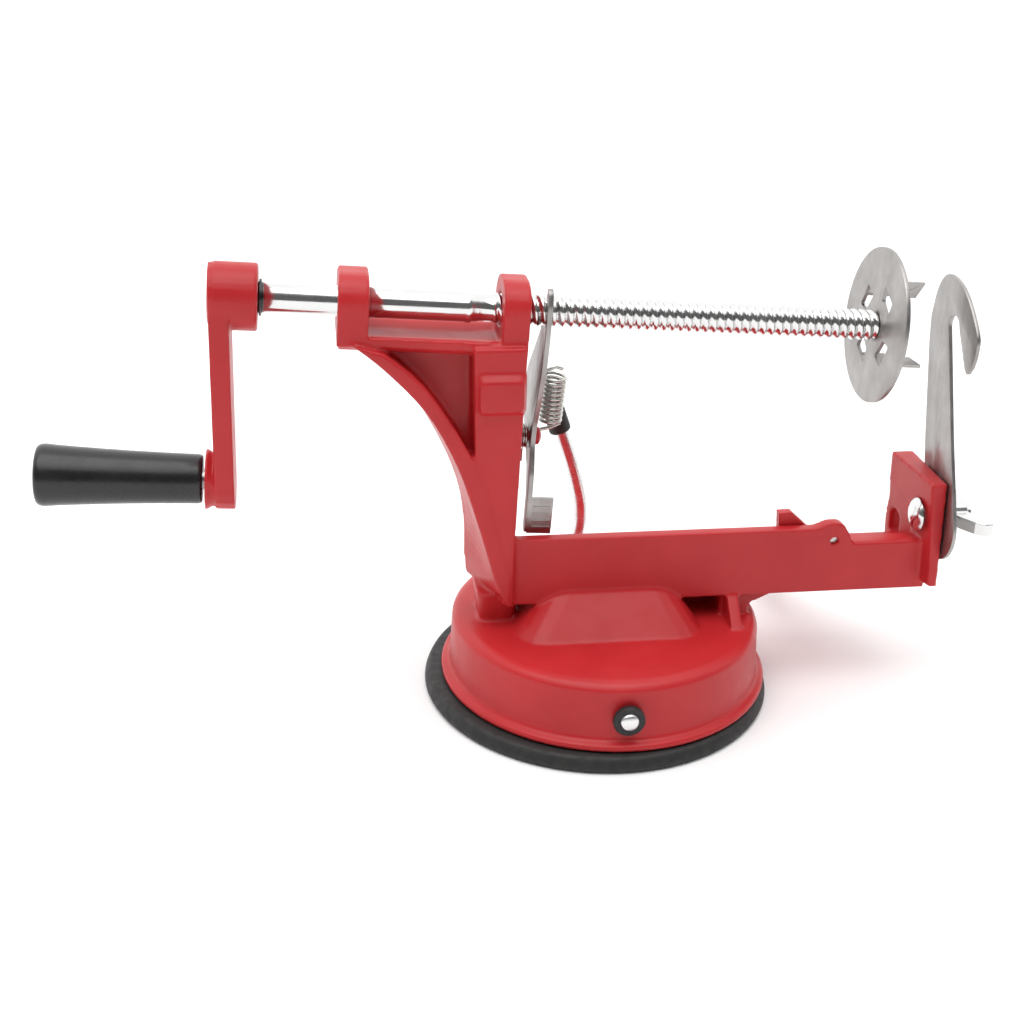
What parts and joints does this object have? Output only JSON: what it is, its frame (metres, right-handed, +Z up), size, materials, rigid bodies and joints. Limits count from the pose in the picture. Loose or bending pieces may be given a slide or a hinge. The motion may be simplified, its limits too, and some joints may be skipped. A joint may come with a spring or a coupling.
{
  "type": "apple peeler corer",
  "caption": "Hand-cranked apple peeler and corer on a suction base: a screw drives a pronged fork past a peeling arm towards a hooked slicing blade.",
  "frame": {"origin": "centre of the suction pad's underside, on the table", "axes": "+X along the beam from the crank towards the slicing blade, +Y away from the side the pin's end shows on, +Z up"},
  "size_m": [0.2848, 0.119, 0.1397],
  "materials": {
    "red_body": "satin red moulding with a fine grain",
    "black_plastic": "glossy black",
    "rubber": "matt black",
    "plated_screw": "bright plated",
    "chrome_rod": "bright plated rod",
    "blade_steel": "stamped stainless sheet, lightly brushed",
    "steel": "plain zinc-plated",
    "spring_wire": "drawn spring wire"
  },
  "bodies": {
    "frame": {"frame_casting": "red_body", "suction_pad": "rubber", "release_pivot": "red_body", "release_spring": "spring_wire", "return_spring": "spring_wire", "peeler_pin": "steel", "peeler_spring": "spring_wire", "latch_pin": "steel", "latch_spring": "spring_wire", "carriage_bolt": "plated_screw"},
    "carriage": {"hub_washer": "black_plastic"},
    "crank": {"crank_arm": "red_body", "crank_pin": "steel", "drive_screw": "plated_screw", "fork_disc": "blade_steel", "fork_rivet": "steel"},
    "handle": {"handle_grip": "black_plastic", "handle_bolt": "steel"},
    "release": {"release_lever": "blade_steel"},
    "suction_lever": {"suction_lever": "chrome_rod", "lift_cam": "steel", "lever_cap": "rubber", "lever_retainer": "rubber"},
    "pad_lift": {"pull_yoke": "steel", "clamp_plate": "steel", "clamp_nut": "steel"},
    "peeler": {"peeler_arm": "red_body", "peeler_blade": "blade_steel", "peeler_blade_screw": "steel"},
    "catch": {"latch": "red_body"},
    "slicer": {"slicing_blade": "blade_steel", "blade_washer": "plated_screw"},
    "wing": {"wing_nut": "plated_screw"}
  },
  "joints": [
    {"name": "crank_slide", "type": "slide", "parent": "frame", "child": "carriage", "axis": [0.9979, 0, -0.0645], "range_m": [-0.0851, 0.0041]},
    {"name": "crank_turn", "type": "hinge", "parent": "carriage", "child": "crank", "pos_m": [0, 0, 0.1219], "axis": [0.9979, 0, -0.0645], "range_deg": [-6120, 288]},
    {"name": "handle_spin", "type": "hinge", "parent": "crank", "child": "handle", "pos_m": [-0.00358, 0, 0.06652], "axis": [0.9979, 0, -0.0645], "continuous": true},
    {"name": "release_tilt", "type": "hinge", "parent": "frame", "child": "release", "pos_m": [-0.00265, 0.006, 0.08099], "axis": [0.9979, 0, -0.0645], "range_deg": [0, 8], "stiffness_Nm_per_rad": 0.05},
    {"name": "lever_turn", "type": "hinge", "parent": "frame", "child": "suction_lever", "pos_m": [0.0003, 0, 0.0154], "axis": [0, -1, 0], "range_deg": [0, 90]},
    {"name": "pad_slide", "type": "slide", "parent": "frame", "child": "pad_lift", "axis": [0, 0, 1], "range_m": [0, 0.00215]},
    {"name": "peeler_swing", "type": "hinge", "parent": "frame", "child": "peeler", "pos_m": [0.07, 0.0175, 0.038], "axis": [1, 0, 0], "range_deg": [0, 125]},
    {"name": "catch_tilt", "type": "hinge", "parent": "frame", "child": "catch", "pos_m": [0.0714, 0, 0.0508], "axis": [0, 1, 0], "range_deg": [-10, 10], "stiffness_Nm_per_rad": 0.02},
    {"name": "blade_swing", "type": "hinge", "parent": "frame", "child": "slicer", "pos_m": [0.104, -0.0075, 0.0575], "axis": [1, 0, 0], "range_deg": [-60, 40]},
    {"name": "wing_turn", "type": "hinge", "parent": "frame", "child": "wing", "pos_m": [0.11, -0.0075, 0.0575], "axis": [1, 0, 0], "continuous": true}
  ],
  "couplings": [
    {"joint": "crank_slide", "follows": "crank_turn", "m_per_rad": 0.00079577},
    {"joint": "pad_slide", "follows": "lever_turn", "m_per_rad": 0.00135}
  ]
}
